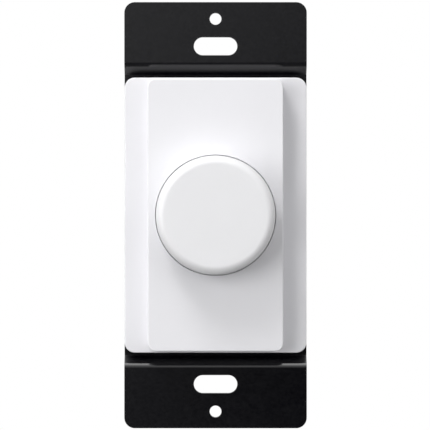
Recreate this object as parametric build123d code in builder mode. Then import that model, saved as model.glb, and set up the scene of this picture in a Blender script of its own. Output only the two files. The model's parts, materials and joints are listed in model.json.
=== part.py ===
from build123d import *
import os
from math import cos, pi, radians, sin

# Smart rotary dimmer switch for a wall box, in millimetres.
# The origin is the middle of the mounting strap on the wall plane, on the dial's axis.
# +X is right, +Z is up and the room is towards -Y.
# A height is measured from the wall plane towards the room, so it is -Y:
# what lies inside the wall box has a negative height.

# Mounting strap: one sheet, its middle set back behind the two ears
strap_width = 45.0
strap_end_margin = 4.13
strap_thickness = 1.5
strap_corner_radius = 2.6
strap_recess = 2.2
ear_bend_z = 37.25
recess_bend_z = 35.0
sheet_bend_radius = 0.95
plate_screw_spacing = 96.84
plate_screw_hole = 2.9
box_slot_spacing = 83.34
box_slot_length = 10.73
box_slot_width = 4.44

# Front bezel: wings and raised centre panel in one moulding
bezel_inset = 0.1
bezel_length = 67.8
bezel_corner_radius = 2.5
wing_height = 2.2
wing_edge_radius = 0.25
panel_width = 33.0
panel_length = 66.4
panel_height = 8.0
panel_corner_radius = 1.9
panel_edge_radius = 0.2
panel_draft = 2.0
bezel_wall = 1.8
wing_pocket_count = 4
wing_rib = 1.2
aperture_gap = 0.2
aperture_edge_radius = 0.15
collar_wall = 1.4
collar_depth = 2.8
board_post_radius = 1.5
board_post_x = 10.6
board_post_z = 22.0

# Dial
dial_base_diameter = 29.1
dial_face_diameter = 28.8
dial_height = 17.5
dial_skirt_height = 5.0
dial_face_radius = 2.1
dial_wall = 1.8
dial_face_wall = 2.2
dial_gap = 0.3
dial_boss_radius = 4.8
dial_rib_count = 6
dial_rib_width = 1.2
dial_rib_depth = 2.4
clip_sheet = 0.6
clip_gap_width = 2.0
press_travel = 0.5

# Screws that hold the rear housing, the strap and the bezel together
housing_screw_x = 25.0
housing_screw_z = 56.0
housing_screw_thread = 3.0
housing_screw_head = 5.6
housing_screw_head_height = 2.2
housing_screw_head_recess = 2.6
housing_screw_grip = 4.2
bezel_boss_radius = 3.0
housing_column_radius = 4.2
screw_clearance = 0.2
recess_cross_length = 3.2
recess_cross_width = 0.8
recess_cross_depth = 1.0

# Insulating tray and control board in front of the strap
tray_gap = 0.3
tray_thickness = 0.8
tray_ledge_height = 0.8
tray_ledge_width = 1.4
control_board_thickness = 1.2
control_board_gap = 0.2
radio_width = 14.0
radio_length = 12.0
radio_z = 22.6
radio_board_thickness = 0.8
radio_shield_height = 2.0
radio_shield_wall = 0.2
radio_shield_inset = 0.6

# Rotary encoder with push switch
encoder_width = 12.0
encoder_length = 12.6
switch_base_height = 1.9
switch_floor = 0.5
encoder_base_height = 3.6
encoder_floor = 0.5
encoder_cavity_radius = 5.3
cover_thickness = 1.0
cover_leg_width = 5.0
cover_leg_thickness = 0.6
bushing_radius = 3.5
bushing_height = 0.8
dome_radius = 2.5
dome_rise = 0.65
dome_sheet = 0.15
dome_well_gap = 0.2
plunger_flange_radius = 2.1
plunger_flange_height = 0.5
plunger_stem_radius = 1.1
plunger_rise = 1.95
shaft_diameter = 6.0
shaft_flat_depth = 1.5
shaft_tip_gap = 0.3
shaft_collar_radius = 3.7
shaft_collar_height = 0.6
shaft_tail_radius = 2.0
shaft_tail_across_flats = 3.0
running_gap = 0.05
rotor_radius = 5.0
rotor_height = 1.3
rotor_lift = 0.5
detent_count = 24
detent_depth = 0.15
detent_inner_radius = 4.05
spring_sheet = 0.2
spring_inner_radius = 4.1
spring_arm_width = 0.9
spring_arm_count = 2
wiper_sheet = 0.15
wiper_finger_count = 3
pin_width = 0.8
pin_thickness = 0.3
pin_pitch = 2.5

# Rear housing
housing_length = 66.0
housing_depth = 29.8
housing_wall = 1.8
housing_corner_radius = 3.0
housing_back_radius = 1.6
housing_draft = 0.5
label_field_width = 20.0
label_field_length = 36.0
label_field_radius = 1.5
label_field_depth = 0.3
strip_gauge_length = 11.0
strip_gauge_width = 1.6
strip_gauge_depth = 0.5
strip_gauge_z = -23.0

# Side terminals: screw head, contact plate, wire gap and clamp plate, from outside in
terminal_pitch = 15.0
terminal_depth = 11.0
terminal_head = 7.4
terminal_head_height = 2.0
terminal_head_inset = 0.5
terminal_thread = 3.4
contact_thickness = 1.0
contact_wire_gap = 2.2
contact_tail_width = 2.4
contact_bend_radius = 1.0
contact_tail_rise = 1.6
contact_pin_inset = 1.6
contact_margin = 0.2
clamp_thickness = 1.4
clamp_length = 9.0
clamp_height = 8.0
screw_tip_gap = 0.6
pocket_wall = 1.5
pocket_shoulder = 1.1
pocket_front_depth = 5.0
pocket_back_wall = 4.5
wire_hole = 2.8
wire_lead_in = 0.5
wire_spacing = 6.0
ground_tab_width = 9.0
ground_tab_overrun = 4.5
ground_tab_relief = 0.8
ground_tab_tip_radius = 2.0

# Power board and what it carries
power_board_thickness = 1.6
board_standoff_height = 4.0
board_standoff_radius = 2.5
board_standoff_x = 14.0
board_standoff_z = 58.0
power_board_gap = 0.3
transistor_middle_gap = 2.0
transistor_side_gap = 0.6
transistor_screw_z = 20.4
transistor_width = 10.0
transistor_body_length = 9.2
transistor_body_height = 4.4
transistor_tab_length = 6.3
transistor_tab_thickness = 1.3
transistor_lead_pitch = 2.54
transistor_lead_width = 0.8
transistor_lead_thickness = 0.5
thermal_pad_thickness = 0.3
thermal_pad_margin = 0.4
transistor_screw_head = 5.5
transistor_screw_head_height = 2.0
transistor_tail_z = 5.0
solder_pin_through = 0.8
bulk_capacitor_radius = 4.0
bulk_capacitor_height = 13.0
bulk_capacitor_side_gap = 2.4
bulk_capacitor_spacing = 8.2
bulk_capacitor_z = -3.8
film_capacitor_width = 12.0
film_capacitor_length = 6.0
film_capacitor_height = 11.0
film_capacitor_side_gap = 1.0
film_capacitor_z = -15.0
choke_end_gap = 0.2
choke_bore_radius = 2.6
choke_height = 4.6
choke_turns = 14
choke_wire = 0.7
choke_wire_gap = 0.1
transformer_width = 12.0
transformer_length = 13.0
transformer_height = 12.0
transformer_core_length = 8.0
transformer_coil_width = 9.6
transformer_coil_radius = 1.5
transformer_side_gap = 0.4
transformer_z = -3.6
varistor_radius = 3.5
varistor_thickness = 3.4
varistor_x = 4.6
varistor_z = 25.0
fuse_radius = 2.2
fuse_length = 8.0
fuse_x = -3.4
fuse_z = 25.0
component_lift = 0.6
lead_radius = 0.35
varistor_lead_spacing = 5.0
fuse_lead_spacing = 6.0
# Side, height, x and z of each chip on the control board
control_chip_places = [(7.0, 1.0, -4.6, -22.6), (5.0, 1.2, 4.0, -23.6), (3.0, 0.8, -8.6, 18.0)]
connector_x = 5.0
connector_z = -15.0
connector_width = 7.0
connector_length = 5.0
connector_pin_rows = 2
connector_pin_columns = 3
connector_pin_pitch = 2.0
connector_pin = 0.6
connector_gap = 0.5

# Widths and places that follow across the front
strap_length = plate_screw_spacing + 2 * strap_end_margin
bezel_width = strap_width - 2 * bezel_inset

# Heights that follow, from the wall box to the room
ear_middle = strap_thickness / 2
recess_middle = ear_middle - strap_recess
recess_front = strap_thickness - strap_recess
recess_back = -strap_recess
housing_back = recess_back - housing_depth
housing_floor = housing_back + housing_wall
power_board_back = housing_floor + board_standoff_height
power_board_front = power_board_back + power_board_thickness
tray_front = recess_front + tray_thickness
control_board_back = tray_front + tray_ledge_height
control_board_front = control_board_back + control_board_thickness
switch_base_front = control_board_front + switch_base_height
encoder_base_front = switch_base_front + encoder_base_height
cover_front = encoder_base_front + cover_thickness
bushing_front = cover_front + bushing_height
panel_inside = panel_height - bezel_wall
dial_inside = dial_height - dial_face_wall
dial_boss_back = bushing_front + press_travel + dial_gap
shaft_tip = dial_inside - shaft_tip_gap
dome_base = control_board_front + switch_floor
dome_top = dome_base + dome_rise
plunger_top = dome_top + plunger_rise
rotor_back = switch_base_front + encoder_floor + rotor_lift
rotor_front = rotor_back + rotor_height
collar_front = encoder_base_front - running_gap
terminal_height = recess_back - terminal_depth

# Distances from the middle that follow, at the side terminals
transistor_x = (transistor_width + transistor_middle_gap) / 2
pocket_back = transistor_x + transistor_width / 2 + transistor_side_gap
pocket_floor = pocket_back + pocket_wall
clamp_inside = pocket_floor + screw_tip_gap
clamp_outside = clamp_inside + clamp_thickness
contact_inside = clamp_outside + contact_wire_gap
contact_outside = contact_inside + contact_thickness
housing_width = 2 * (contact_outside + terminal_head_height + terminal_head_inset)
bulk_capacitor_x = bulk_capacitor_side_gap + bulk_capacitor_radius - pocket_back
film_capacitor_x = film_capacitor_side_gap + film_capacitor_width / 2 - pocket_back
transformer_x = pocket_back - transformer_side_gap - transformer_width / 2
winding_radius = choke_wire + choke_wire_gap
choke_bottom = housing_wall + choke_end_gap - housing_length / 2
choke_top = film_capacitor_z - film_capacitor_length / 2 - choke_end_gap
choke_z = (choke_bottom + choke_top) / 2
choke_radius = (choke_top - choke_bottom) / 2 - winding_radius
pocket_length = terminal_pitch - 2 * pocket_wall
pocket_end = housing_back + pocket_back_wall
pocket_start = recess_back - pocket_front_depth
contact_tail_height = power_board_front + contact_tail_rise
contact_pin_x = pocket_back - contact_pin_inset
tab_middle = contact_outside - strap_thickness / 2
tab_end = terminal_height - ground_tab_overrun
live_terminals = [(1, 1), (1, -1), (-1, 1), (-1, 0)]
ground_terminal = (-1, -1)
all_terminals = live_terminals + [ground_terminal]
ground_side, ground_row = ground_terminal
ground_z = ground_row * terminal_pitch
aperture_radius = dial_base_diameter / 2 + aperture_gap
cavity_width = panel_width - 2 * bezel_wall
cavity_length = panel_length - 2 * bezel_wall
tray_width = cavity_width - 2 * tray_gap
tray_length = cavity_length - 2 * tray_gap
board_width = tray_width - 2 * control_board_gap
board_length = tray_length - 2 * control_board_gap
screw_hole_radius = housing_screw_thread / 2 + screw_clearance


def facing_room(height, x=0.0, z=0.0):
    """Plane parallel to the wall: local x is right, local y is up."""
    return Plane(origin=(x, -height, z), x_dir=(1, 0, 0), z_dir=(0, -1, 0))


def upright_section(x=0.0):
    """Plane across the strap's width: local x is height, local y is up."""
    return Plane(origin=(x, 0, 0), x_dir=(0, -1, 0), z_dir=(-1, 0, 0))


def level_section(z=0.0, side=1):
    """Level plane: local x runs out to that side, local y is height."""
    return Plane(origin=(0, 0, z), x_dir=(side, 0, 0), z_dir=(0, 0, -side))


def facing_side(side, distance, height, z):
    """Plane that faces out to one side: local x is up."""
    return Plane(origin=(side * distance, -height, z), x_dir=(0, 0, 1), z_dir=(side, 0, 0))


def disc(plane, radius):
    with BuildSketch(plane) as profile:
        Circle(radius)
    return profile.sketch


def block(plane, width, length):
    with BuildSketch(plane) as profile:
        Rectangle(width, length)
    return profile.sketch


def cross_recess(plane):
    """Outline of a cross-shaped driver recess."""
    with BuildSketch(plane) as profile:
        Rectangle(recess_cross_length, recess_cross_width)
        Rectangle(recess_cross_width, recess_cross_length)
    return profile.sketch


def corner_screws():
    """The four places of the housing screws."""
    return GridLocations(housing_screw_x, housing_screw_z, 2, 2)


os.makedirs("parts", exist_ok=True)

# Mounting strap, with the ground tab lanced out of its middle and bent back
with BuildPart() as mounting_strap:
    with BuildSketch(upright_section()):
        with BuildLine():
            FilletPolyline(
                (ear_middle, -strap_length / 2),
                (ear_middle, -ear_bend_z),
                (recess_middle, -recess_bend_z),
                (recess_middle, recess_bend_z),
                (ear_middle, ear_bend_z),
                (ear_middle, strap_length / 2),
                radius=sheet_bend_radius,
            )
        trace(line_width=strap_thickness)
    extrude(amount=strap_width / 2, both=True)
    fillet(mounting_strap.edges().filter_by(Axis.Y), strap_corner_radius)
    with BuildSketch(facing_room(strap_thickness)):
        with GridLocations(0, plate_screw_spacing, 1, 2):
            Circle(plate_screw_hole / 2)
        with GridLocations(0, box_slot_spacing, 1, 2):
            SlotOverall(box_slot_length, box_slot_width)
    extrude(amount=-strap_thickness, mode=Mode.SUBTRACT)
    tab_window_start = tab_middle + sheet_bend_radius
    tab_window_length = recess_middle - tab_end
    with BuildSketch(facing_room(recess_front)):
        with corner_screws():
            Circle(screw_hole_radius)
        with Locations((transistor_x, transistor_screw_z), (-transistor_x, transistor_screw_z)):
            Circle(housing_screw_thread / 2)
        with Locations((connector_x, connector_z)):
            Rectangle(connector_width + 2 * connector_gap, connector_length + 2 * connector_gap)
        with Locations((ground_side * (tab_window_start - tab_window_length / 2), ground_z)):
            Rectangle(tab_window_length, ground_tab_width + 2 * ground_tab_relief)
    extrude(amount=-strap_thickness, mode=Mode.SUBTRACT)
    with BuildSketch(level_section(ground_z, ground_side)):
        with BuildLine():
            FilletPolyline(
                (tab_window_start + strap_thickness, recess_middle),
                (tab_middle, recess_middle),
                (tab_middle, tab_end),
                radius=sheet_bend_radius,
            )
        trace(line_width=strap_thickness)
    extrude(amount=ground_tab_width / 2, both=True)
    tab_tip = mounting_strap.edges().filter_by(Axis.X).sort_by(Axis.Y)[-2:]
    fillet(tab_tip, ground_tab_tip_radius)
    ground_plane = facing_side(ground_side, contact_outside, terminal_height, ground_z)
    extrude(disc(ground_plane, terminal_thread / 2), amount=-strap_thickness, mode=Mode.SUBTRACT)
mounting_strap.part.label = "mounting_strap"
export_step(mounting_strap.part, "parts/mounting_strap.step")

# Front bezel: wings, drafted centre panel, dial aperture and screw bosses
with BuildPart() as front_bezel:
    with BuildSketch(facing_room(recess_front)):
        RectangleRounded(bezel_width, bezel_length, bezel_corner_radius)
    extrude(amount=wing_height - recess_front)
    wing_outline = front_bezel.faces().sort_by(Axis.Y)[0].edges()
    fillet(wing_outline, wing_edge_radius)
    panel_cap = facing_room(panel_height)
    with BuildSketch(panel_cap):
        RectangleRounded(panel_width, panel_length, panel_corner_radius)
    extrude(amount=-(panel_height - wing_height), taper=-panel_draft)
    panel_outline = front_bezel.faces().sort_by(Axis.Y)[0].edges()
    fillet(panel_outline, panel_edge_radius)
    with BuildSketch(facing_room(recess_front)):
        RectangleRounded(cavity_width, cavity_length, panel_corner_radius)
    extrude(amount=panel_inside - recess_front, mode=Mode.SUBTRACT)
    wing_inside = wing_height - bezel_wall
    wing_pocket_outside = bezel_width / 2 - bezel_wall
    wing_pocket_width = wing_pocket_outside - panel_width / 2
    wing_pocket_pitch = cavity_length / wing_pocket_count
    with BuildSketch(facing_room(recess_front)):
        for side in (-1, 1):
            with Locations((side * (wing_pocket_outside - wing_pocket_width / 2), 0)):
                with GridLocations(0, wing_pocket_pitch, 1, wing_pocket_count):
                    Rectangle(wing_pocket_width, wing_pocket_pitch - wing_rib)
    extrude(amount=wing_inside - recess_front, mode=Mode.SUBTRACT)
    with BuildSketch(facing_room(recess_front)):
        with corner_screws():
            Circle(bezel_boss_radius)
    extrude(amount=panel_inside - recess_front)
    with BuildSketch(facing_room(control_board_front)):
        with GridLocations(2 * board_post_x, 2 * board_post_z, 2, 2):
            Circle(board_post_radius)
    extrude(amount=panel_inside - control_board_front)
    with BuildSketch(facing_room(panel_inside)):
        Circle(aperture_radius + collar_wall)
    extrude(amount=-collar_depth)
    with BuildSketch(panel_cap):
        Circle(aperture_radius)
    extrude(amount=-(bezel_wall + collar_depth), mode=Mode.SUBTRACT)
    aperture_rim = front_bezel.edges().filter_by(GeomType.CIRCLE).sort_by(Axis.Y)
    aperture_rim = aperture_rim.filter_by(lambda rim: abs(rim.radius - aperture_radius) < running_gap)[0]
    fillet(aperture_rim, aperture_edge_radius)
    with BuildSketch(facing_room(recess_front)):
        with corner_screws():
            Circle(housing_screw_thread / 2)
    extrude(amount=housing_screw_grip + screw_clearance, mode=Mode.SUBTRACT)
front_bezel.part.label = "front_bezel"
export_step(front_bezel.part, "parts/front_bezel.step")

# Insulating tray between the strap and the control board
with BuildPart() as insulating_tray:
    with BuildSketch(facing_room(recess_front)) as tray_outline:
        RectangleRounded(tray_width, tray_length, panel_corner_radius)
        with corner_screws():
            Circle(bezel_boss_radius + tray_gap, mode=Mode.SUBTRACT)
        with Locations((connector_x, connector_z)):
            Rectangle(connector_width, connector_length, mode=Mode.SUBTRACT)
    extrude(amount=tray_thickness)
    with BuildSketch(facing_room(tray_front)):
        RectangleRounded(tray_width, tray_length, panel_corner_radius)
        Rectangle(
            tray_width - 2 * tray_ledge_width, tray_length - 2 * tray_ledge_width, mode=Mode.SUBTRACT
        )
        with corner_screws():
            Circle(bezel_boss_radius + tray_gap, mode=Mode.SUBTRACT)
    extrude(amount=tray_ledge_height)
insulating_tray.part.label = "insulating_tray"
export_step(insulating_tray.part, "parts/insulating_tray.step")

# Rear housing: open towards the strap, with side pockets for the terminals
with BuildPart() as rear_housing:
    with BuildSketch(facing_room(recess_back)):
        RectangleRounded(housing_width, housing_length, housing_corner_radius)
    extrude(amount=-housing_depth, taper=housing_draft)
    back_outline = rear_housing.faces().sort_by(Axis.Y)[-1].edges()
    fillet(back_outline, housing_back_radius)
    inside_width = housing_width - 2 * housing_wall
    inside_length = housing_length - 2 * housing_wall
    with BuildSketch(facing_room(recess_back)):
        RectangleRounded(inside_width, inside_length, housing_corner_radius - housing_wall)
    extrude(amount=housing_floor - recess_back, mode=Mode.SUBTRACT)
    block_width = housing_width / 2 - housing_wall / 2 - pocket_back
    block_middle = pocket_back + block_width / 2
    block_start = pocket_start + pocket_wall
    for side, row in live_terminals:
        block_plane = facing_room(block_start, side * block_middle, row * terminal_pitch)
        extrude(block(block_plane, block_width, terminal_pitch), amount=housing_floor - block_start)
    ground_plane = facing_room(recess_back, ground_side * block_middle, ground_z)
    extrude(block(ground_plane, block_width, terminal_pitch), amount=housing_floor - recess_back)
    with BuildSketch(facing_room(recess_back)):
        with corner_screws():
            Circle(housing_column_radius)
    extrude(amount=housing_floor - recess_back)
    with BuildSketch(facing_room(housing_floor)):
        with GridLocations(board_standoff_x, board_standoff_z, 2, 2):
            Circle(board_standoff_radius)
    extrude(amount=board_standoff_height)
    outer_depth = housing_width / 2 - contact_inside
    inner_depth = contact_inside - pocket_floor
    inner_length = pocket_length - 2 * pocket_shoulder
    for side, row in all_terminals:
        up = row * terminal_pitch
        start = recess_back if (side, row) == ground_terminal else pocket_start
        outer_plane = facing_room(start, side * (contact_inside + outer_depth / 2), up)
        outer_cut = block(outer_plane, outer_depth, pocket_length)
        extrude(outer_cut, amount=pocket_end - start, mode=Mode.SUBTRACT)
        inner_start = start if start == recess_back else start - pocket_shoulder
        inner_plane = facing_room(inner_start, side * (pocket_floor + inner_depth / 2), up)
        inner_cut = block(inner_plane, inner_depth, inner_length)
        extrude(inner_cut, amount=pocket_end - inner_start, mode=Mode.SUBTRACT)
        wire_plane = facing_room(pocket_end, side * (clamp_outside + contact_wire_gap / 2), up)
        with BuildSketch(wire_plane) as wire_holes:
            with GridLocations(0, wire_spacing, 1, 2):
                Circle(wire_hole / 2)
        extrude(wire_holes.sketch, amount=-pocket_back_wall, mode=Mode.SUBTRACT)
        entry_plane = facing_room(housing_back, side * (clamp_outside + contact_wire_gap / 2), up)
        with BuildSketch(entry_plane) as wire_entries:
            with GridLocations(0, wire_spacing, 1, 2):
                Circle(wire_hole / 2 + wire_lead_in)
        extrude(wire_entries.sketch, amount=wire_lead_in, taper=45, mode=Mode.SUBTRACT)
    for side, row in live_terminals:
        tail_plane = facing_side(side, pocket_back, contact_tail_height, row * terminal_pitch)
        tail_slot = block(
            tail_plane,
            contact_tail_width + 2 * contact_margin,
            contact_thickness + 2 * contact_margin,
        )
        extrude(tail_slot, amount=pocket_wall, mode=Mode.SUBTRACT)
    with Locations(Plane(origin=(0, -housing_back, 0), x_dir=(1, 0, 0), z_dir=(0, 1, 0))):
        with corner_screws():
            CounterBoreHole(
                screw_hole_radius,
                housing_screw_head / 2 + screw_clearance,
                housing_screw_head_recess,
            )
    extrude(
        block(facing_room(housing_back, 0, strip_gauge_z), strip_gauge_length, strip_gauge_width),
        amount=strip_gauge_depth,
        mode=Mode.SUBTRACT,
    )
    with BuildSketch(facing_room(housing_back)) as label_field:
        RectangleRounded(label_field_width, label_field_length, label_field_radius)
    extrude(label_field.sketch, amount=label_field_depth, mode=Mode.SUBTRACT)
rear_housing.part.label = "rear_housing"
export_step(rear_housing.part, "parts/rear_housing.step")

# Long screws from the housing's back into the bezel's bosses
with BuildPart() as housing_screws:
    head_top = housing_back + housing_screw_head_recess - housing_screw_head_height
    head_seat = housing_back + housing_screw_head_recess
    head_face = Plane(origin=(0, -head_top, 0), x_dir=(1, 0, 0), z_dir=(0, 1, 0))
    with BuildSketch(head_face):
        with corner_screws():
            Circle(housing_screw_head / 2)
    extrude(amount=-housing_screw_head_height)
    with BuildSketch(facing_room(head_seat)):
        with corner_screws():
            Circle(housing_screw_thread / 2)
    extrude(amount=recess_front + housing_screw_grip - head_seat)
    with BuildSketch(head_face):
        with corner_screws():
            Rectangle(recess_cross_length, recess_cross_width)
            Rectangle(recess_cross_width, recess_cross_length)
    extrude(amount=-recess_cross_depth, mode=Mode.SUBTRACT)
housing_screws.part.label = "housing_screws"
export_step(housing_screws.part, "parts/housing_screws.step")

# Contact plates: wide under the screw, a narrow tail soldered into the power board
with BuildPart() as terminal_contacts:
    plate_middle = contact_inside + contact_thickness / 2
    plate_start = pocket_start - contact_margin
    for side, row in live_terminals:
        with BuildSketch(level_section(row * terminal_pitch, side)) as tail_profile:
            with BuildLine():
                FilletPolyline(
                    (plate_middle, plate_start),
                    (plate_middle, contact_tail_height),
                    (contact_pin_x, contact_tail_height),
                    (contact_pin_x, power_board_back - solder_pin_through),
                    radius=contact_bend_radius,
                )
            trace(line_width=contact_thickness)
        extrude(tail_profile.sketch, amount=contact_tail_width / 2, both=True)
        plate_length = plate_start - contact_tail_height - 2 * contact_bend_radius
        plate_plane = facing_side(
            side, contact_inside, plate_start - plate_length / 2, row * terminal_pitch
        )
        plate_width = pocket_length - 2 * contact_margin
        extrude(block(plate_plane, plate_width, plate_length), amount=contact_thickness)
        hole_plane = facing_side(side, contact_outside, terminal_height, row * terminal_pitch)
        hole = disc(hole_plane, terminal_thread / 2 + screw_clearance)
        extrude(hole, amount=-contact_thickness, mode=Mode.SUBTRACT)
terminal_contacts.part.label = "terminal_contacts"
export_step(terminal_contacts.part, "parts/terminal_contacts.step")

# Clamp plates on the screws, behind the wires
with BuildPart() as clamp_plates:
    for side, row in live_terminals:
        clamp_plane = facing_side(side, clamp_inside, terminal_height, row * terminal_pitch)
        extrude(block(clamp_plane, clamp_length, clamp_height), amount=clamp_thickness)
        thread = disc(clamp_plane, terminal_thread / 2)
        extrude(thread, amount=clamp_thickness, mode=Mode.SUBTRACT)
clamp_plates.part.label = "clamp_plates"
export_step(clamp_plates.part, "parts/clamp_plates.step")


def terminal_screw(side, up):
    """Adds a screw with a slotted pan head to the current part."""
    head_plane = facing_side(side, contact_outside, terminal_height, up)
    extrude(disc(head_plane, terminal_head / 2), amount=terminal_head_height)
    tip = screw_tip_gap / 2
    shank_length = contact_outside - clamp_inside + tip
    extrude(disc(head_plane, terminal_thread / 2), amount=-shank_length)
    face_distance = contact_outside + terminal_head_height
    face = facing_side(side, face_distance, terminal_height, up)
    extrude(
        block(face, recess_cross_width, terminal_head),
        amount=-recess_cross_depth,
        mode=Mode.SUBTRACT,
    )


with BuildPart() as terminal_screws:
    for side, row in live_terminals:
        terminal_screw(side, row * terminal_pitch)
terminal_screws.part.label = "terminal_screws"
export_step(terminal_screws.part, "parts/terminal_screws.step")

with BuildPart() as ground_screw:
    terminal_screw(ground_side, ground_z)
ground_screw.part.label = "ground_screw"
export_step(ground_screw.part, "parts/ground_screw.step")

# Control board behind the panel, notched round the bezel's bosses
with BuildPart() as control_board:
    with BuildSketch(facing_room(control_board_back)):
        RectangleRounded(board_width, board_length, panel_corner_radius)
        with corner_screws():
            Circle(bezel_boss_radius + tray_gap, mode=Mode.SUBTRACT)
        with Locations((connector_x, connector_z)):
            with GridLocations(
                connector_pin_pitch, connector_pin_pitch, connector_pin_columns, connector_pin_rows
            ):
                Circle(connector_pin / 2, mode=Mode.SUBTRACT)
        with GridLocations(encoder_width + cover_leg_thickness, 0, 2, 1):
            Rectangle(
                cover_leg_thickness + 2 * running_gap,
                cover_leg_width + 2 * running_gap,
                mode=Mode.SUBTRACT,
            )
    extrude(amount=control_board_thickness)
control_board.part.label = "control_board"
export_step(control_board.part, "parts/control_board.step")

# Radio module and its shield can
with BuildPart() as radio_module:
    with BuildSketch(facing_room(control_board_front, 0, radio_z)):
        Rectangle(radio_width, radio_length)
    extrude(amount=radio_board_thickness)
radio_module.part.label = "radio_module"
export_step(radio_module.part, "parts/radio_module.step")

radio_front = control_board_front + radio_board_thickness
can_width = radio_width - 2 * radio_shield_inset
can_length = radio_length - 4 * radio_shield_inset
with BuildPart() as radio_shield:
    with BuildSketch(facing_room(radio_front, 0, radio_z - radio_shield_inset)):
        RectangleRounded(can_width, can_length, radio_shield_inset)
    extrude(amount=radio_shield_height)
    with BuildSketch(facing_room(radio_front, 0, radio_z - radio_shield_inset)):
        Rectangle(can_width - 2 * radio_shield_wall, can_length - 2 * radio_shield_wall)
    extrude(amount=radio_shield_height - radio_shield_wall, mode=Mode.SUBTRACT)
radio_shield.part.label = "radio_shield"
export_step(radio_shield.part, "parts/radio_shield.step")

# Switch base on the control board, with a well for the snap dome
with BuildPart() as switch_base:
    with BuildSketch(facing_room(control_board_front)):
        Rectangle(encoder_width, encoder_length)
    extrude(amount=switch_base_height)
    well = disc(facing_room(dome_base), dome_radius + dome_well_gap)
    extrude(well, amount=switch_base_height - switch_floor, mode=Mode.SUBTRACT)
switch_base.part.label = "switch_base"
export_step(switch_base.part, "parts/switch_base.step")

# Snap dome: a shallow cap of spring sheet that buckles under the plunger
with BuildPart() as snap_dome:
    with BuildSketch(level_section()):
        with BuildLine():
            under = ThreePointArc(
                (-dome_radius, dome_base), (0, dome_top - dome_sheet), (dome_radius, dome_base)
            )
            over = ThreePointArc(
                (dome_radius, dome_base + dome_sheet), (0, dome_top), (-dome_radius, dome_base + dome_sheet)
            )
            Line(under @ 1, over @ 0)
            Line(over @ 1, under @ 0)
        make_face()
        with Locations((dome_radius / 2, dome_base)):
            Rectangle(dome_radius, 4 * dome_rise, mode=Mode.INTERSECT)
    revolve(axis=Axis.Y)
snap_dome.part.label = "snap_dome"
export_step(snap_dome.part, "parts/snap_dome.step")

# Plunger between the shaft's end and the dome
with BuildPart() as switch_plunger:
    extrude(disc(facing_room(dome_top), plunger_flange_radius), amount=plunger_flange_height)
    extrude(disc(facing_room(dome_top), plunger_stem_radius), amount=plunger_rise)
switch_plunger.part.label = "switch_plunger"
export_step(switch_plunger.part, "parts/switch_plunger.step")

# Encoder base: a square cup whose floor guides the plunger
with BuildPart() as encoder_base:
    with BuildSketch(facing_room(switch_base_front)):
        Rectangle(encoder_width, encoder_length)
    extrude(amount=encoder_base_height)
    cup = disc(facing_room(switch_base_front + encoder_floor), encoder_cavity_radius)
    extrude(cup, amount=encoder_base_height, mode=Mode.SUBTRACT)
    guide = disc(facing_room(switch_base_front), plunger_stem_radius + running_gap)
    extrude(guide, amount=encoder_floor, mode=Mode.SUBTRACT)
encoder_base.part.label = "encoder_base"
export_step(encoder_base.part, "parts/encoder_base.step")

# Rotor: a disc with a ring of detent grooves, driven by the shaft's flats
with BuildPart() as encoder_rotor:
    extrude(disc(facing_room(rotor_back), rotor_radius), amount=rotor_height)
    with BuildSketch(facing_room(rotor_back)) as shaft_socket:
        Circle(shaft_tail_radius + running_gap)
        Rectangle(
            2 * shaft_tail_radius + 2 * running_gap,
            shaft_tail_across_flats + 2 * running_gap,
            mode=Mode.INTERSECT,
        )
    extrude(shaft_socket.sketch, amount=rotor_height, mode=Mode.SUBTRACT)
    groove_length = rotor_radius - detent_inner_radius
    groove_width = detent_inner_radius * pi / detent_count
    with BuildSketch(facing_room(rotor_front)) as grooves:
        with PolarLocations(detent_inner_radius + groove_length / 2, detent_count):
            Rectangle(groove_length, groove_width)
    extrude(grooves.sketch, amount=-detent_depth, mode=Mode.SUBTRACT)
encoder_rotor.part.label = "encoder_rotor"
export_step(encoder_rotor.part, "parts/encoder_rotor.step")

# Wiper: a ring under the rotor with three fingers on the base's tracks
with BuildPart() as contact_wiper:
    with BuildSketch(facing_room(rotor_back - wiper_sheet)):
        Circle(rotor_radius)
        Circle(detent_inner_radius, mode=Mode.SUBTRACT)
    extrude(amount=wiper_sheet)
    finger_drop = rotor_lift - wiper_sheet
    with BuildSketch(facing_room(rotor_back - wiper_sheet)):
        with PolarLocations((detent_inner_radius + rotor_radius) / 2, wiper_finger_count):
            Rectangle(rotor_radius - detent_inner_radius - 2 * running_gap, spring_arm_width)
    extrude(amount=-(finger_drop - running_gap))
contact_wiper.part.label = "contact_wiper"
export_step(contact_wiper.part, "parts/contact_wiper.step")

# Detent spring: a flat ring under the cover with two arms down to the grooves
with BuildPart() as detent_spring:
    ring_front = encoder_base_front
    ring_radius = encoder_cavity_radius - running_gap
    with BuildSketch(facing_room(ring_front - spring_sheet)):
        Circle(ring_radius)
        Circle(spring_inner_radius, mode=Mode.SUBTRACT)
    extrude(amount=spring_sheet)
    arm_reach = ring_front - spring_sheet - rotor_front - 2 * running_gap
    with BuildSketch(facing_room(ring_front - spring_sheet)):
        with PolarLocations((ring_radius + spring_inner_radius) / 2, spring_arm_count):
            Rectangle(spring_arm_width, spring_arm_width / 2)
    extrude(amount=-arm_reach)
detent_spring.part.label = "detent_spring"
export_step(detent_spring.part, "parts/detent_spring.step")

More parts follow.
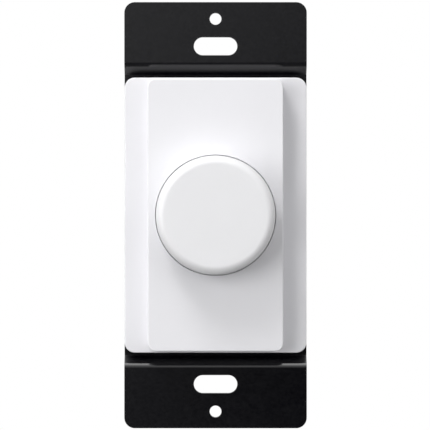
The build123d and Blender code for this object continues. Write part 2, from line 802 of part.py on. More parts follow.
# Encoder cover: plate, bushing collar and two legs folded down through the board
with BuildPart() as encoder_cover:
    leg_end = control_board_back - pin_thickness
    cover_outside = encoder_width + 2 * cover_leg_thickness
    with BuildSketch(facing_room(encoder_base_front)):
        Rectangle(encoder_width, encoder_length)
    extrude(amount=cover_thickness)
    with BuildSketch(facing_room(cover_front)):
        with GridLocations(encoder_width + cover_leg_thickness, 0, 2, 1):
            Rectangle(cover_leg_thickness, cover_leg_width)
    extrude(amount=leg_end - cover_front)
    outer_bends = encoder_cover.edges().filter_by(Axis.Z).group_by(Axis.Y)[0]
    outer_bends = outer_bends.filter_by(lambda e: abs(e.center().X) > encoder_width / 2 + running_gap)
    fillet(outer_bends, cover_leg_thickness - running_gap)
    extrude(disc(facing_room(cover_front), bushing_radius), amount=bushing_height)
    bore = disc(facing_room(bushing_front), shaft_diameter / 2 + running_gap)
    extrude(bore, amount=-(cover_thickness + bushing_height), mode=Mode.SUBTRACT)
encoder_cover.part.label = "encoder_cover"
export_step(encoder_cover.part, "parts/encoder_cover.step")

# Encoder pins: three signal pins below, two switch pins above
with BuildPart() as encoder_pins:
    pin_reach = encoder_length / 2 + 2 * pin_thickness
    pin_middle = control_board_front + switch_base_height / 2
    for toward, pin_row in ((-1, (-pin_pitch, 0, pin_pitch)), (1, (-pin_pitch, pin_pitch))):
        for across in pin_row:
            with BuildSketch(upright_section(across)) as pin_profile:
                with BuildLine():
                    FilletPolyline(
                        (pin_middle, toward * encoder_length / 2),
                        (pin_middle, toward * pin_reach),
                        (control_board_front, toward * pin_reach),
                        radius=pin_thickness / 2 + running_gap,
                    )
                trace(line_width=pin_thickness)
            extrude(pin_profile.sketch, amount=pin_width / 2, both=True)
encoder_pins.part.label = "encoder_pins"
export_step(encoder_pins.part, "parts/encoder_pins.step")

# Shaft: flatted tail in the rotor, collar under the cover, flatted front in the dial
with BuildPart() as encoder_shaft:
    collar_back = collar_front - shaft_collar_height
    extrude(disc(facing_room(collar_back), shaft_diameter / 2), amount=shaft_tip - collar_back)
    extrude(disc(facing_room(collar_back), shaft_collar_radius), amount=shaft_collar_height)
    with BuildSketch(facing_room(plunger_top)) as tail:
        Circle(shaft_tail_radius)
        Rectangle(2 * shaft_tail_radius, shaft_tail_across_flats, mode=Mode.INTERSECT)
    extrude(tail.sketch, amount=collar_back - plunger_top)
    flat_height = dial_boss_back - dial_gap / 2
    flat_middle = shaft_diameter / 2 - shaft_flat_depth / 2
    flat_plane = facing_room(flat_height, 0, -flat_middle)
    flat_cut = block(flat_plane, shaft_diameter, shaft_flat_depth)
    extrude(flat_cut, amount=shaft_tip - flat_height, mode=Mode.SUBTRACT)
encoder_shaft.part.label = "encoder_shaft"
export_step(encoder_shaft.part, "parts/encoder_shaft.step")

# Dial: a moulded cup with a flatted boss and stiffening ribs
with BuildPart() as dial_knob:
    base_radius = dial_base_diameter / 2
    face_radius = dial_face_diameter / 2
    with BuildSketch(level_section()):
        with BuildLine():
            Polyline(
                (0, dial_inside),
                (0, dial_height),
                (face_radius, dial_height),
                (base_radius, dial_skirt_height),
                (base_radius - dial_wall, dial_skirt_height),
                (face_radius - dial_wall, dial_inside),
                close=True,
            )
        make_face()
    revolve(axis=Axis.Y)
    face_edge = dial_knob.faces().sort_by(Axis.Y)[0].edges()
    fillet(face_edge, dial_face_radius)
    extrude(disc(facing_room(dial_inside), dial_boss_radius), amount=dial_boss_back - dial_inside)
    rib_length = face_radius - dial_wall - dial_boss_radius + 2 * running_gap
    with BuildSketch(facing_room(dial_inside)) as ribs:
        with PolarLocations(dial_boss_radius + rib_length / 2 - running_gap, dial_rib_count):
            Rectangle(rib_length, dial_rib_width)
    extrude(ribs.sketch, amount=-dial_rib_depth)
    with BuildSketch(facing_room(dial_boss_back)) as flatted_bore:
        Circle(shaft_diameter / 2)
        with Locations((0, -flat_middle)):
            Rectangle(shaft_diameter, shaft_flat_depth, mode=Mode.SUBTRACT)
    extrude(flatted_bore.sketch, amount=dial_inside - dial_boss_back, mode=Mode.SUBTRACT)
dial_knob.part.label = "dial_knob"
export_step(dial_knob.part, "parts/dial_knob.step")

# Spring clip round the dial's boss
with BuildPart() as knob_clip:
    clip_back = dial_boss_back + dial_gap
    clip_front = dial_inside - dial_rib_depth - dial_gap
    with BuildSketch(facing_room(clip_back)):
        Circle(dial_boss_radius + clip_sheet)
        Circle(dial_boss_radius, mode=Mode.SUBTRACT)
        with Locations((0, dial_boss_radius)):
            Rectangle(clip_gap_width, clip_gap_width, mode=Mode.SUBTRACT)
    extrude(amount=clip_front - clip_back)
knob_clip.part.label = "knob_clip"
export_step(knob_clip.part, "parts/knob_clip.step")

# Power board on the housing's standoffs, cut back round pockets and columns
with BuildPart() as power_board:
    wide = inside_width - 2 * power_board_gap
    long = inside_length - 2 * power_board_gap
    with BuildSketch(facing_room(power_board_back)):
        RectangleRounded(wide, long, housing_corner_radius - housing_wall)
        column_reach = housing_column_radius + power_board_gap
        with GridLocations(wide, long, 2, 2):
            Rectangle(
                wide - housing_screw_x + 2 * column_reach,
                long - housing_screw_z + 2 * column_reach,
                mode=Mode.SUBTRACT,
            )
        for side, row in all_terminals:
            with Locations((side * (block_middle - power_board_gap / 2), row * terminal_pitch)):
                Rectangle(
                    block_width + power_board_gap,
                    terminal_pitch + 2 * power_board_gap,
                    mode=Mode.SUBTRACT,
                )
        for side, row in live_terminals:
            with Locations((side * contact_pin_x, row * terminal_pitch)):
                Rectangle(
                    contact_thickness + contact_margin,
                    contact_tail_width + contact_margin,
                    mode=Mode.SUBTRACT,
                )
        for middle in (-transistor_x, transistor_x):
            with Locations((middle, transistor_tail_z)):
                with GridLocations(transistor_lead_pitch, 0, 3, 1):
                    Rectangle(
                        transistor_lead_width + contact_margin,
                        transistor_lead_thickness + contact_margin,
                        mode=Mode.SUBTRACT,
                    )
        for lead_x, spacing, lead_z in (
            (varistor_x, varistor_lead_spacing, varistor_z),
            (fuse_x, fuse_lead_spacing, fuse_z),
        ):
            with Locations((lead_x, lead_z)):
                with GridLocations(spacing, 0, 2, 1):
                    Circle(lead_radius, mode=Mode.SUBTRACT)
    extrude(amount=power_board_thickness)
power_board.part.label = "power_board"
export_step(power_board.part, "parts/power_board.step")

# Two power transistors flat against the strap, leads down to the power board
pad_front = recess_back
tab_front = recess_back - thermal_pad_thickness
tab_top_z = transistor_screw_z + transistor_tab_length / 2
body_top_z = tab_top_z - transistor_tab_length
body_bottom_z = body_top_z - transistor_body_length
with BuildPart() as power_transistors:
    lead_height = tab_front - transistor_body_height / 2
    for middle in (-transistor_x, transistor_x):
        body_plane = facing_room(tab_front, middle, (body_top_z + body_bottom_z) / 2)
        extrude(
            block(body_plane, transistor_width, transistor_body_length),
            amount=-transistor_body_height,
        )
        tab_plane = facing_room(tab_front, middle, transistor_screw_z)
        extrude(
            block(tab_plane, transistor_width, transistor_tab_length),
            amount=-transistor_tab_thickness,
        )
        extrude(
            disc(tab_plane, screw_hole_radius),
            amount=-transistor_tab_thickness,
            mode=Mode.SUBTRACT,
        )
        for lead in (-1, 0, 1):
            with BuildSketch(upright_section(middle + lead * transistor_lead_pitch)) as lead_profile:
                with BuildLine():
                    FilletPolyline(
                        (lead_height, body_bottom_z),
                        (lead_height, transistor_tail_z),
                        (power_board_back - solder_pin_through, transistor_tail_z),
                        radius=2 * transistor_lead_thickness,
                    )
                trace(line_width=transistor_lead_thickness)
            extrude(lead_profile.sketch, amount=transistor_lead_width / 2, both=True)
power_transistors.part.label = "power_transistors"
export_step(power_transistors.part, "parts/power_transistors.step")

# Insulating thermal pads between the transistors and the strap
with BuildPart() as thermal_pads:
    pad_length = tab_top_z - body_bottom_z + 2 * thermal_pad_margin
    pad_middle_z = (tab_top_z + body_bottom_z) / 2
    for middle in (-transistor_x, transistor_x):
        pad_plane = facing_room(pad_front, middle, pad_middle_z)
        pad = block(pad_plane, transistor_width + 2 * thermal_pad_margin, pad_length)
        extrude(pad, amount=-thermal_pad_thickness)
        hole = disc(facing_room(pad_front, middle, transistor_screw_z), screw_hole_radius)
        extrude(hole, amount=-thermal_pad_thickness, mode=Mode.SUBTRACT)
thermal_pads.part.label = "thermal_pads"
export_step(thermal_pads.part, "parts/thermal_pads.step")

# Screws through the transistor tabs into the strap
with BuildPart() as transistor_screws:
    tab_back = tab_front - transistor_tab_thickness
    for middle in (-transistor_x, transistor_x):
        seat = facing_room(tab_back, middle, transistor_screw_z)
        extrude(disc(seat, transistor_screw_head / 2), amount=-transistor_screw_head_height)
        extrude(disc(seat, housing_screw_thread / 2), amount=recess_front - tab_back)
        face = facing_room(tab_back - transistor_screw_head_height, middle, transistor_screw_z)
        extrude(cross_recess(face), amount=recess_cross_depth, mode=Mode.SUBTRACT)
transistor_screws.part.label = "transistor_screws"
export_step(transistor_screws.part, "parts/transistor_screws.step")

# Bulk capacitors: two cans standing on the power board
with BuildPart() as bulk_capacitors:
    for up in (bulk_capacitor_z - bulk_capacitor_spacing / 2, bulk_capacitor_z + bulk_capacitor_spacing / 2):
        foot = facing_room(power_board_front, bulk_capacitor_x, up)
        extrude(disc(foot, bulk_capacitor_radius), amount=bulk_capacitor_height)
bulk_capacitors.part.label = "bulk_capacitors"
export_step(bulk_capacitors.part, "parts/bulk_capacitors.step")

# Film capacitor: a box with rounded upright edges
with BuildPart() as film_capacitor:
    with BuildSketch(facing_room(power_board_front, film_capacitor_x, film_capacitor_z)):
        RectangleRounded(film_capacitor_width, film_capacitor_length, component_lift)
    extrude(amount=film_capacitor_height)
film_capacitor.part.label = "film_capacitor"
export_step(film_capacitor.part, "parts/film_capacitor.step")

# Choke: a ring core with its winding as open turns
choke_back = power_board_front + winding_radius + choke_wire_gap
with BuildPart() as choke_core:
    with BuildSketch(facing_room(choke_back, 0, choke_z)):
        Circle(choke_radius)
        Circle(choke_bore_radius, mode=Mode.SUBTRACT)
    extrude(amount=choke_height)
choke_core.part.label = "choke_core"
export_step(choke_core.part, "parts/choke_core.step")

with BuildPart() as choke_winding:
    turn_middle = (choke_radius + choke_bore_radius) / 2
    turn_inside = (
        choke_radius - choke_bore_radius + 2 * choke_wire_gap,
        choke_height + 2 * choke_wire_gap,
    )
    for turn in range(choke_turns):
        angle = radians(turn * 360 / choke_turns)
        turn_plane = Plane(
            origin=(0, -(choke_back + choke_height / 2), choke_z),
            x_dir=(cos(angle), 0, sin(angle)),
            z_dir=(sin(angle), 0, -cos(angle)),
        )
        with BuildSketch(turn_plane) as turn_profile:
            with Locations((turn_middle, 0)):
                Rectangle(turn_inside[0] + 2 * choke_wire, turn_inside[1] + 2 * choke_wire)
                Rectangle(*turn_inside, mode=Mode.SUBTRACT)
        extrude(turn_profile.sketch, amount=choke_wire / 2, both=True)
choke_winding.part.label = "choke_winding"
export_step(choke_winding.part, "parts/choke_winding.step")

# Supply transformer: a stack of laminations round a coil on a bobbin
with BuildPart() as supply_transformer:
    core_plane = facing_room(power_board_front + component_lift, transformer_x, transformer_z)
    with BuildSketch(core_plane):
        Rectangle(transformer_width, transformer_core_length)
    extrude(amount=transformer_height)
    with BuildSketch(facing_room(power_board_front, transformer_x, transformer_z)):
        RectangleRounded(transformer_coil_width, transformer_length, transformer_coil_radius)
    extrude(amount=transformer_height - component_lift)
supply_transformer.part.label = "supply_transformer"
export_step(supply_transformer.part, "parts/supply_transformer.step")


def round_lead(x, z, top):
    """Adds a wire lead from a component down through the power board."""
    lead_end = power_board_back - solder_pin_through
    extrude(disc(facing_room(lead_end, x, z), lead_radius), amount=top - lead_end)


# Varistor: a thick disc standing on two leads
with BuildPart() as varistor:
    varistor_height = power_board_front + component_lift + varistor_radius
    disc_plane = Plane(
        origin=(varistor_x, -varistor_height, varistor_z - varistor_thickness / 2),
        x_dir=(1, 0, 0),
        z_dir=(0, 0, 1),
    )
    extrude(disc(disc_plane, varistor_radius), amount=varistor_thickness)
    for along in (-varistor_lead_spacing / 2, varistor_lead_spacing / 2):
        round_lead(varistor_x + along, varistor_z, varistor_height)
varistor.part.label = "varistor"
export_step(varistor.part, "parts/varistor.step")

# Fuse: a small cylinder lying along the board on two leads
with BuildPart() as fuse:
    fuse_height = power_board_front + component_lift + fuse_radius
    fuse_plane = Plane(
        origin=(fuse_x - fuse_length / 2, -fuse_height, fuse_z), x_dir=(0, 0, 1), z_dir=(1, 0, 0)
    )
    extrude(disc(fuse_plane, fuse_radius), amount=fuse_length)
    for along in (-fuse_lead_spacing / 2, fuse_lead_spacing / 2):
        round_lead(fuse_x + along, fuse_z, fuse_height)
fuse.part.label = "fuse"
export_step(fuse.part, "parts/fuse.step")

# Connector tower from the power board through the strap to the control board
with BuildPart() as board_connector:
    with BuildSketch(facing_room(power_board_front, connector_x, connector_z)):
        Rectangle(connector_width, connector_length)
    extrude(amount=control_board_back - power_board_front)
    with BuildSketch(facing_room(control_board_back, connector_x, connector_z)):
        with GridLocations(
            connector_pin_pitch, connector_pin_pitch, connector_pin_columns, connector_pin_rows
        ):
            Circle(connector_pin / 2)
    extrude(amount=control_board_thickness + solder_pin_through)
board_connector.part.label = "board_connector"
export_step(board_connector.part, "parts/board_connector.step")

# Chips on the front of the control board
with BuildPart() as control_chips:
    for chip_size, chip_height, chip_x, chip_z in control_chip_places:
        extrude(
            block(facing_room(control_board_front, chip_x, chip_z), chip_size, chip_size),
            amount=chip_height,
        )
control_chips.part.label = "control_chips"
export_step(control_chips.part, "parts/control_chips.step")
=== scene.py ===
import json
import math

import bpy
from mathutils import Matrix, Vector

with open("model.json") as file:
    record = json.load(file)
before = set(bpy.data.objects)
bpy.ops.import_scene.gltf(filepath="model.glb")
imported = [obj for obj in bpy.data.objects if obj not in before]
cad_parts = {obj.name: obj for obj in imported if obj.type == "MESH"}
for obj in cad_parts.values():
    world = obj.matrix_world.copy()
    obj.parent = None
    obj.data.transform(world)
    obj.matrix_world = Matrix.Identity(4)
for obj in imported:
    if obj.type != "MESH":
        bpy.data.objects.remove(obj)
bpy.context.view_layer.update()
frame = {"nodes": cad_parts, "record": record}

scene = bpy.context.scene
nodes = frame["nodes"]

MM = 0.001


def grey(level):
    return (level, level, level, 1.0)


def shade(colour, factor):
    return tuple(min(1.0, channel * factor) for channel in colour[:3]) + (1.0,)


# Node trees

MIX_SOCKETS = {  # a mix node's factor, first, second and result
    "FLOAT": (0, 2, 3, 0),
    "RGBA": (0, 6, 7, 2),
}
NOISE_LOW, NOISE_HIGH = 0.3, 0.7  # most of a noise lies between these


class Tree:
    """A node tree, with short ways to add its nodes and to feed them."""

    def __init__(self, owner):
        owner.use_nodes = True
        self.tree = owner.node_tree

    def add(self, kind, **settings):
        node = self.tree.nodes.new(kind)
        for key, value in settings.items():
            setattr(node, key, value)
        return node

    def join(self, start, end):
        self.tree.links.new(start, end)

    def fill(self, socket, value):
        """Feeds a socket from another one, or sets it to a constant."""
        if isinstance(value, bpy.types.NodeSocket):
            self.join(value, socket)
        else:
            socket.default_value = value

    def compute(self, operation, *values):
        node = self.add("ShaderNodeMath", operation=operation)
        for socket, value in zip(node.inputs, values):
            self.fill(socket, value)
        return node.outputs["Value"]

    def times(self, first, second):
        return self.compute("MULTIPLY", first, second)

    def plus(self, first, second):
        return self.compute("ADD", first, second)

    def spread(self, value, low, high, start=0.0, end=1.0, **settings):
        """Maps low..high to start..end and holds the ends."""
        node = self.add("ShaderNodeMapRange", clamp=True, **settings)
        self.join(value, node.inputs["Value"])
        for key, number in (("From Min", low), ("From Max", high), ("To Min", start), ("To Max", end)):
            node.inputs[key].default_value = number
        return node.outputs["Result"]

    def mix(self, data_type, amount, first, second):
        node = self.add("ShaderNodeMix", data_type=data_type)
        *entries, result = MIX_SOCKETS[data_type]
        for entry, value in zip(entries, (amount, first, second)):
            self.fill(node.inputs[entry], value)
        return node.outputs[result]

    def blend(self, amount, first, second):
        """A colour between first and second."""
        return self.mix("RGBA", amount, first, second)


class Graph(Tree):
    """A material made of a principled shader and the procedural nodes that feed it."""

    def __init__(self, name):
        self.material = bpy.data.materials.new(name)
        super().__init__(self.material)
        self.tree.nodes.clear()
        output = self.add("ShaderNodeOutputMaterial")
        self.shader = self.add("ShaderNodeBsdfPrincipled")
        self.join(self.shader.outputs["BSDF"], output.inputs["Surface"])
        self.place = self.add("ShaderNodeTexCoord").outputs["Object"]
        self.normal = None

    def stretched(self, factors):
        """Object coordinates with each axis scaled. A factor under one draws a pattern out along its axis."""
        mapping = self.add("ShaderNodeMapping")
        self.join(self.place, mapping.inputs["Vector"])
        mapping.inputs["Scale"].default_value = factors
        return mapping.outputs["Vector"]

    def noise(self, size, detail=2.0, roughness=0.5, place=None):
        """Noise whose blobs measure about size metres."""
        node = self.add("ShaderNodeTexNoise")
        self.join(place or self.place, node.inputs["Vector"])
        node.inputs["Scale"].default_value = 1.0 / size
        node.inputs["Detail"].default_value = detail
        node.inputs["Roughness"].default_value = roughness
        return node.outputs["Fac"]

    def cells(self, size):
        """The distance to the nearest of points about size metres apart, as a share of size."""
        node = self.add("ShaderNodeTexVoronoi", feature="F1")
        self.join(self.place, node.inputs["Vector"])
        node.inputs["Scale"].default_value = 1.0 / size
        return node.outputs["Distance"]

    def across(self, value, start, end):
        """Maps the middle of a noise, where most of it lies, to start..end."""
        return self.spread(value, NOISE_LOW, NOISE_HIGH, start, end)

    def bump(self, height, depth, strength):
        """Adds relief of about depth metres on top of what is there."""
        node = self.add("ShaderNodeBump")
        self.join(height, node.inputs["Height"])
        node.inputs["Distance"].default_value = depth
        node.inputs["Strength"].default_value = strength
        if self.normal is not None:
            self.join(self.normal, node.inputs["Normal"])
        self.normal = node.outputs["Normal"]

    def edges(self, radius, sharp=0.90, flat=0.995):
        """One at edges sharper than radius, fading to nothing on the flats.

        sharp and flat are cosines of the turn from the plain normal to the one that a bevel would give.
        """
        bevel = self.add("ShaderNodeBevel", samples=4)
        bevel.inputs["Radius"].default_value = radius
        plain = self.add("ShaderNodeNewGeometry")
        cosine = self.add("ShaderNodeVectorMath", operation="DOT_PRODUCT")
        self.join(bevel.outputs["Normal"], cosine.inputs[0])
        self.join(plain.outputs["Normal"], cosine.inputs[1])
        return self.spread(cosine.outputs["Value"], sharp, flat, 1.0, 0.0)

    def painted_shade_specular(self, reach, closed, open_sky, level=0.5):
        """Painted shade: a specular level that fades in corners, so that they reflect less than the pieces
        around them would show.

        It is none where the open share of the sky, for pieces within reach, is closed or less, and
        level where that share is open_sky or more.
        """
        node = self.add("ShaderNodeAmbientOcclusion", samples=8)
        node.inputs["Distance"].default_value = reach
        return self.spread(node.outputs["AO"], closed, open_sky, 0.0, level)

    def finish(self, colour, roughness, metallic=0.0, **constants):
        self.fill(self.shader.inputs["Base Color"], colour)
        self.fill(self.shader.inputs["Roughness"], roughness)
        self.fill(self.shader.inputs["Metallic"], metallic)
        if self.normal is not None:
            self.join(self.normal, self.shader.inputs["Normal"])
        for key, value in constants.items():
            self.shader.inputs[key.replace("_", " ")].default_value = value
        return self.material


# Finishes


def moulded(name, colour, matt, grain, depth, wear, flow):
    """Injection moulded plastic: spark grain, faint flow clouding and rubbed edges.

    matt is the middle of the roughness. grain and depth are the spark grain's size and relief in
    millimetres. wear and flow say how far rubbing and clouding change the colour.
    """
    graph = Graph(name)
    clouds = graph.noise(9 * MM, detail=3.0, roughness=0.55)
    specks = graph.noise(grain * MM, roughness=0.6)
    patches = graph.spread(graph.noise(1.6 * MM, detail=3.0), 0.35, 0.65)
    rubbed = graph.times(graph.edges(0.35 * MM), patches)
    tone = graph.blend(graph.across(clouds, 0.0, 1.0), shade(colour, 1.0 - flow), shade(colour, 1.0 + flow))
    tone = graph.blend(graph.times(rubbed, wear), tone, shade(colour, 1.0 + 2.0 * wear))
    rough = graph.across(graph.noise(3.0 * MM, detail=4.0, roughness=0.6), matt - 0.05, matt + 0.06)
    rough = graph.plus(rough, graph.times(rubbed, -0.08))
    graph.bump(specks, depth * MM, strength=0.6)
    graph.bump(clouds, 0.02 * MM, strength=0.25)
    return graph.finish(tone, rough)


def coated_steel(name):
    """Black baked coating over punched steel, thin and worn on its edges, with painted shade that dulls its
    reflections in deep corners.
    """
    dark_coating, pale_coating = (0.0, 0.0, 0.0012, 1.0), (0.0045, 0.0045, 0.0060, 1.0)
    thin_coating, steel = (0.012, 0.012, 0.013, 1.0), (0.12, 0.12, 0.125, 1.0)
    graph = Graph(name)
    peel = graph.noise(0.5 * MM)
    mottle = graph.noise(0.6 * MM, detail=4.0, roughness=0.6)
    edge = graph.edges(0.30 * MM)
    worn = graph.times(edge, graph.spread(graph.noise(1.1 * MM, detail=4.0, roughness=0.65), 0.50, 0.66))
    tone = graph.blend(graph.spread(mottle, 0.35, 0.65), dark_coating, pale_coating)
    tone = graph.blend(graph.times(edge, 0.4), tone, thin_coating)
    tone = graph.blend(graph.times(worn, 0.5), tone, steel)
    rough = graph.across(graph.noise(2.2 * MM, detail=4.0, roughness=0.6), 0.10, 0.13)
    graph.bump(peel, 0.006 * MM, strength=0.3)
    graph.bump(graph.noise(0.16 * MM, detail=1.0), 0.003 * MM, strength=0.4)
    # painted shade: the strap's specular level fades in deep corners and beside the bezel
    specular_with_painted_shade = graph.painted_shade_specular(3.0 * MM, closed=0.49, open_sky=0.68)
    graph.fill(graph.shader.inputs["Specular IOR Level"], specular_with_painted_shade)
    return graph.finish(tone, rough, graph.times(worn, 0.5), IOR=1.6)


def plated(name, colour, matt, grain=(1.0, 1.0, 1.0), dull=0.75):
    """Plated or bare metal: fine drawn lines, dulled patches and a painted highlight that brightens the
    edges.

    grain scales the lines' pattern along each axis, and dull is how bright the dulled patches are.
    """
    graph = Graph(name)
    lines = graph.noise(0.35 * MM, detail=4.0, roughness=0.7, place=graph.stretched(grain))
    patches = graph.noise(2.4 * MM, detail=3.0, roughness=0.6)
    edge = graph.edges(0.20 * MM)
    tone = graph.blend(graph.spread(patches, 0.35, 0.7), shade(colour, dull), colour)
    # painted highlight: the edges are lighter in colour
    tone = graph.blend(graph.times(edge, 0.5), tone, shade(colour, 1.25))
    graph.bump(lines, 0.006 * MM, strength=0.5)
    return graph.finish(tone, graph.across(lines, matt - 0.08, matt + 0.10), 1.0)


def circuit_board(name):
    """Green lacquer over copper tracks with tinned pads and bare laminate at the edge."""
    lacquer, thin_lacquer = (0.010, 0.085, 0.040, 1.0), (0.014, 0.110, 0.050, 1.0)
    track, tin, laminate = (0.030, 0.210, 0.080, 1.0), (0.55, 0.53, 0.47, 1.0), (0.30, 0.27, 0.13, 1.0)
    graph = Graph(name)
    upright = graph.add("ShaderNodeMapping")  # brings the board's plane into that of the brick pattern
    graph.join(graph.place, upright.inputs["Vector"])
    upright.inputs["Rotation"].default_value = (math.radians(90), 0, 0)
    tracks = graph.add("ShaderNodeTexBrick", offset=0.37, squash=0.7, squash_frequency=3)
    graph.join(upright.outputs["Vector"], tracks.inputs["Vector"])
    tracks.inputs["Scale"].default_value = 1.0 / (2.4 * MM)
    tracks.inputs["Mortar Size"].default_value = 0.11
    tracks.inputs["Mortar Smooth"].default_value = 0.25
    lines = tracks.outputs["Fac"]
    pads = graph.spread(graph.cells(3.1 * MM), 0.08, 0.11, 1.0, 0.0)
    weave = graph.noise(0.35 * MM, detail=1.0)
    rim = graph.edges(0.25 * MM, sharp=0.80, flat=0.97)
    tone = graph.blend(weave, lacquer, thin_lacquer)
    tone = graph.blend(graph.times(lines, 0.75), tone, track)
    tone = graph.blend(pads, tone, tin)
    tone = graph.blend(graph.times(rim, 0.8), tone, laminate)
    rough = graph.spread(pads, 0.0, 1.0, 0.34, 0.25)
    graph.bump(lines, 0.035 * MM, strength=0.8)
    graph.bump(pads, 0.05 * MM, strength=0.6)
    return graph.finish(tone, rough, graph.times(pads, 0.9))


def wound(name, colour):
    """Enamelled wire laid in turns."""
    graph = Graph(name)
    turns = graph.add("ShaderNodeTexWave", wave_type="BANDS", bands_direction="DIAGONAL")
    graph.join(graph.place, turns.inputs["Vector"])
    turns.inputs["Scale"].default_value = 1.0 / (0.5 * MM)
    turns.inputs["Distortion"].default_value = 0.6
    lines = turns.outputs["Fac"]
    tone = graph.blend(lines, shade(colour, 0.45), colour)
    tone = graph.blend(graph.spread(graph.noise(1.5 * MM), 0.4, 0.7), tone, shade(colour, 0.7))
    rough = graph.spread(lines, 0.0, 1.0, 0.42, 0.24)
    graph.bump(lines, 0.12 * MM, strength=0.9)
    return graph.finish(tone, rough, 0.75, Coat_Weight=0.4, Coat_Roughness=0.15)


def dipped(name, colour, matt=0.28, pits=0.8):
    """Epoxy dipped or sleeved part with soft drips, and fine pits that are pits millimetres apart."""
    graph = Graph(name)
    drips = graph.noise(2.6 * MM, detail=3.0)
    pitting = graph.spread(graph.cells(pits * MM), 0.10, 0.28)
    tone = graph.blend(graph.across(drips, 0.0, 1.0), shade(colour, 0.82), shade(colour, 1.12))
    rough = graph.across(drips, matt - 0.06, matt + 0.08)
    graph.bump(drips, 0.10 * MM, strength=0.5)
    graph.bump(pitting, 0.01 * MM, strength=0.5)
    return graph.finish(tone, rough, Coat_Weight=0.25, Coat_Roughness=0.12)


def sintered(name, colour):
    """Pressed ferrite: matt, dark and slightly chipped."""
    graph = Graph(name)
    grains = graph.noise(0.22 * MM, detail=3.0, roughness=0.7)
    chips = graph.times(graph.edges(0.30 * MM), graph.spread(graph.noise(0.9 * MM), 0.52, 0.62))
    tone = graph.blend(grains, shade(colour, 0.75), shade(colour, 1.35))
    tone = graph.blend(chips, tone, shade(colour, 2.6))
    graph.bump(grains, 0.02 * MM, strength=0.7)
    return graph.finish(tone, graph.across(grains, 0.55, 0.75))


def plastic(red, green, blue, matt, grain, depth, wear, flow):
    """What to make a moulded plastic with."""
    return moulded, dict(
        colour=(red, green, blue, 1.0), matt=matt, grain=grain, depth=depth, wear=wear, flow=flow
    )


def metal(red, green, blue, matt, **settings):
    """What to make a plated or bare metal with."""
    return plated, dict(colour=(red, green, blue, 1.0), matt=matt, **settings)


FINISHES = {  # the function that makes each material slot's material, and its settings
    "strap_black": (coated_steel, {}),
    "white_plastic": plastic(0.843, 0.840, 0.866, matt=0.42, grain=0.13, depth=0.005, wear=0.04, flow=0.006),
    "dial_plastic": plastic(0.845, 0.845, 0.860, matt=0.36, grain=0.10, depth=0.003, wear=0.04, flow=0.005),
    "black_plastic": plastic(0.018, 0.018, 0.019, matt=0.46, grain=0.30, depth=0.030, wear=0.5, flow=0.12),
    "tray_plastic": plastic(0.66, 0.65, 0.60, matt=0.45, grain=0.20, depth=0.010, wear=0.06, flow=0.03),
    "circuit_board": (circuit_board, {}),
    "tinned_steel": metal(0.62, 0.62, 0.60, matt=0.30),
    "chip_plastic": plastic(0.020, 0.020, 0.022, matt=0.52, grain=0.09, depth=0.008, wear=0.3, flow=0.10),
    "encoder_plastic": plastic(0.05, 0.05, 0.055, matt=0.42, grain=0.15, depth=0.006, wear=0.4, flow=0.08),
    "spring_steel": metal(0.60, 0.59, 0.57, matt=0.24, grain=(1.0, 1.0, 0.12)),
    "contact_brass": metal(0.60, 0.38, 0.14, matt=0.36, grain=(0.15, 1.0, 1.0)),
    "rotor_plastic": plastic(0.55, 0.56, 0.58, matt=0.38, grain=0.14, depth=0.005, wear=0.08, flow=0.03),
    "zinc_cover": metal(0.66, 0.67, 0.69, matt=0.28, grain=(0.10, 1.0, 1.0)),
    "thermal_pad": (dipped, dict(colour=(0.33, 0.36, 0.42, 1.0), matt=0.60, pits=0.5)),
    "zinc_screw": metal(0.68, 0.68, 0.66, matt=0.27),
    "capacitor_can": metal(0.05, 0.06, 0.09, matt=0.30, grain=(1.0, 0.1, 1.0)),
    "film_plastic": plastic(0.50, 0.36, 0.04, matt=0.36, grain=0.18, depth=0.006, wear=0.2, flow=0.05),
    "ferrite": (sintered, dict(colour=(0.035, 0.035, 0.038, 1.0))),
    "copper_wire": (wound, dict(colour=(0.78, 0.33, 0.12, 1.0))),
    "varistor_blue": (dipped, dict(colour=(0.03, 0.10, 0.34, 1.0))),
    "brass_screw": metal(0.88, 0.68, 0.34, matt=0.22, dull=0.88),
    "green_screw": metal(0.05, 0.26, 0.10, matt=0.30, dull=0.7),
}

materials = {slot: make(slot + "_look", **settings) for slot, (make, settings) in FINISHES.items()}
slot_of = {subpart["node"]: subpart["material_slot"] for subpart in frame["record"]["subparts"]}
for name, piece in nodes.items():
    piece.data.materials.clear()
    piece.data.materials.append(materials[slot_of[name]])


# Camera

SENSOR_WIDTH = 36.0  # millimetres, as is the lens
LENS = 207.05
CAMERA_PLACE = (-0.000136, -0.6115, 0.000044)  # metres, within 0.2 mm of the dial's axis
CLIP_START, CLIP_END = 0.05, 20.0

camera_data = bpy.data.cameras.new("camera")
camera_data.sensor_width = SENSOR_WIDTH
camera_data.lens = LENS
camera_data.clip_start = CLIP_START
camera_data.clip_end = CLIP_END
camera = bpy.data.objects.new("camera", camera_data)
camera.location = CAMERA_PLACE
camera.rotation_euler = (math.radians(90), 0, 0)
scene.collection.objects.link(camera)
scene.camera = camera


# Light

WALL_EDGES = (-0.80, 0.10)  # the Y of a ray's direction at which the wall starts to fade and has ended
TOP_SHARPNESS = 4.0  # a power that keeps the bright part of the room overhead


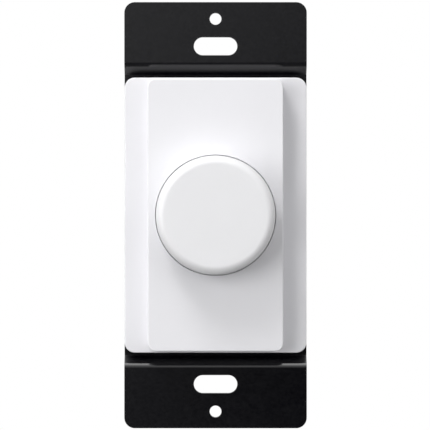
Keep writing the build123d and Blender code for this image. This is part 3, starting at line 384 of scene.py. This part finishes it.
class Sky(Tree):
    """The room around the object: what rays see of it, and the even light it sheds.

    Mirrored rays meet a wall on the camera's side. It is dim on the axis, slope lightens it upwards
    and to the left, and top brightens it overhead. Beyond WALL_EDGES they meet the level behind.
    Camera rays see no less than white, and all other rays meet the level shed.
    """

    def __init__(self, shed, dim, slope, top, behind):
        self.world = bpy.data.worlds.new("studio")
        super().__init__(self.world)
        way = self.add("ShaderNodeSeparateXYZ")
        self.join(self.add("ShaderNodeTexCoord").outputs["Generated"], way.inputs["Vector"])
        rise = self.compute("SUBTRACT", way.outputs["Z"], way.outputs["X"])
        wall = self.compute("MULTIPLY_ADD", rise, slope, dim)
        wall.node.use_clamp = True
        high = self.compute("POWER", self.compute("MAXIMUM", way.outputs["Z"], 0.0), TOP_SHARPNESS)
        wall = self.compute("MULTIPLY_ADD", high, top, wall)
        turn = self.spread(way.outputs["Y"], *WALL_EDGES, interpolation_type="SMOOTHSTEP")
        path = self.add("ShaderNodeLightPath")
        looked = self.compute("MAXIMUM", path.outputs["Is Camera Ray"], path.outputs["Is Glossy Ray"])
        looked = self.compute("MAXIMUM", looked, path.outputs["Is Transmission Ray"])
        room = self.mix("FLOAT", turn, wall, behind)
        room = self.compute("MAXIMUM", room, path.outputs["Is Camera Ray"])
        background = self.tree.nodes["Background"]
        background.inputs["Color"].default_value = grey(1.0)
        self.join(self.mix("FLOAT", looked, shed, room), background.inputs["Strength"])


scene.world = Sky(shed=0.505, dim=0.20, slope=1.9, top=8.0, behind=1.0).world

LAMP_DISTANCE = 0.85


def softbox(name, direction, side, power):
    """A square lamp that faces the origin from a direction."""
    lamp_data = bpy.data.lights.new(name, "AREA")
    lamp_data.shape = "SQUARE"
    lamp_data.size = side
    lamp_data.energy = power
    lamp = bpy.data.objects.new(name, lamp_data)
    towards = Vector(direction).normalized()
    lamp.location = towards * LAMP_DISTANCE
    lamp.rotation_mode = "QUATERNION"
    lamp.rotation_quaternion = towards.to_track_quat("Z", "Y")
    lamp.visible_camera = False
    scene.collection.objects.link(lamp)


softbox("upper_left_softbox", (-0.50, -0.60, 1.20), side=0.30, power=3.5)
softbox("left_softbox", (-1.0, -1.0, 0.10), side=0.55, power=3.1)
softbox("right_softbox", (0.80, -1.0, 0.30), side=0.55, power=1.1)
softbox("front_softbox", (-0.40, -1.0, 0.30), side=0.20, power=0.3)


# Floor

FLOOR = -0.45
REACH = 4.0
MIRRORED_FROM, MIRRORED_WHOLE = -0.35, 0.0  # the Y between which the floor comes into reflections
FADE_START, FADE_END = 0.7, 3.0  # metres from the origin between which the paper turns to plain white
NEAR_GLOW = 0.34
PAPER, PALE_PAPER, DARK_FLOOR = grey(0.80), grey(0.84), grey(0.12)


def paper_white():
    """Pale paper that shows the object's shadow and fades to white far off.

    Only camera rays and, behind the object, mirrored rays see it so. All others meet a dark floor
    that throws little light back up.
    """
    graph = Graph("floor_look")
    path = graph.add("ShaderNodeLightPath")
    split = graph.add("ShaderNodeSeparateXYZ")
    graph.join(graph.place, split.inputs["Vector"])
    lit_part = graph.spread(split.outputs["Y"], MIRRORED_FROM, MIRRORED_WHOLE)
    mirrored = graph.plus(path.outputs["Is Glossy Ray"], path.outputs["Is Transmission Ray"])
    looked = graph.plus(path.outputs["Is Camera Ray"], graph.times(mirrored, lit_part))
    away = graph.add("ShaderNodeVectorMath", operation="LENGTH")
    graph.join(graph.place, away.inputs[0])
    far = graph.spread(away.outputs["Value"], FADE_START, FADE_END)
    paper = graph.blend(far, graph.blend(graph.noise(0.4), PAPER, PALE_PAPER), grey(0.0))
    glow = graph.spread(far, 0.0, 1.0, NEAR_GLOW, 1.0)
    graph.shader.inputs["Emission Color"].default_value = grey(1.0)
    graph.fill(graph.shader.inputs["Emission Strength"], graph.times(looked, glow))
    return graph.finish(graph.blend(looked, DARK_FLOOR, paper), 0.8)


def sheet(name, corners, material):
    """A flat piece of the surroundings, with four corners."""
    mesh = bpy.data.meshes.new(name)
    mesh.from_pydata(corners, [], [(0, 1, 2, 3)])
    mesh.materials.append(material)
    piece = bpy.data.objects.new(name, mesh)
    scene.collection.objects.link(piece)


floor_corners = [(x * REACH, y * REACH, FLOOR) for x, y in ((-1, -1), (1, -1), (1, 1), (-1, 1))]
sheet("floor", floor_corners, paper_white())


scene.view_settings.view_transform = "Standard"
